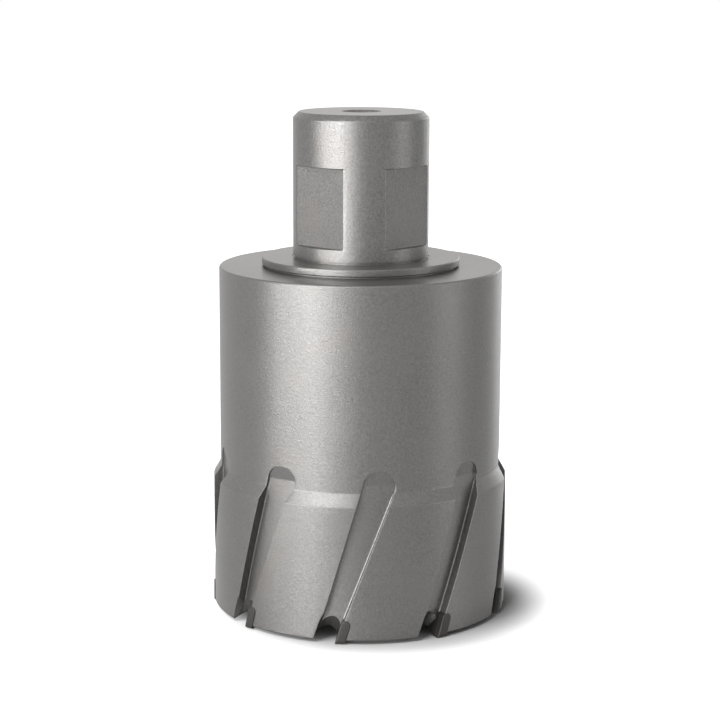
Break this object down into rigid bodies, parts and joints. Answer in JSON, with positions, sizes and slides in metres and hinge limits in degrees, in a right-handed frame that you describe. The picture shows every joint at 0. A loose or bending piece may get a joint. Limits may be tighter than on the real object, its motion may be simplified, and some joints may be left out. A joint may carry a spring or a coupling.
{
  "type": "annular cutter",
  "caption": "Cup-shaped metal-cutting hole cutter with leaning flutes, brazed hard tips round its rim, a round shank with flats for a side-lock arbor and a pilot hole.",
  "frame": {"origin": "on the tool's axis, in the plane of the lowest points of the teeth", "axes": "+Z along the tool's axis, from the teeth to the top of the shank; -Y is the side that the picture shows, with one drive flat to the left of it and one to the right"},
  "size_m": [0.07, 0.07, 0.1178],
  "materials": {
    "cutter_steel": "matt blasted steel with a fine grain",
    "carbide": "dark ground hard metal"
  },
  "bodies": {
    "root": {"cutter_body": "cutter_steel", "carbide_tip_1": "carbide", "carbide_tip_2": "carbide", "carbide_tip_3": "carbide", "carbide_tip_4": "carbide", "carbide_tip_5": "carbide", "carbide_tip_6": "carbide", "carbide_tip_7": "carbide", "carbide_tip_8": "carbide", "carbide_tip_9": "carbide"}
  },
  "joints": []
}
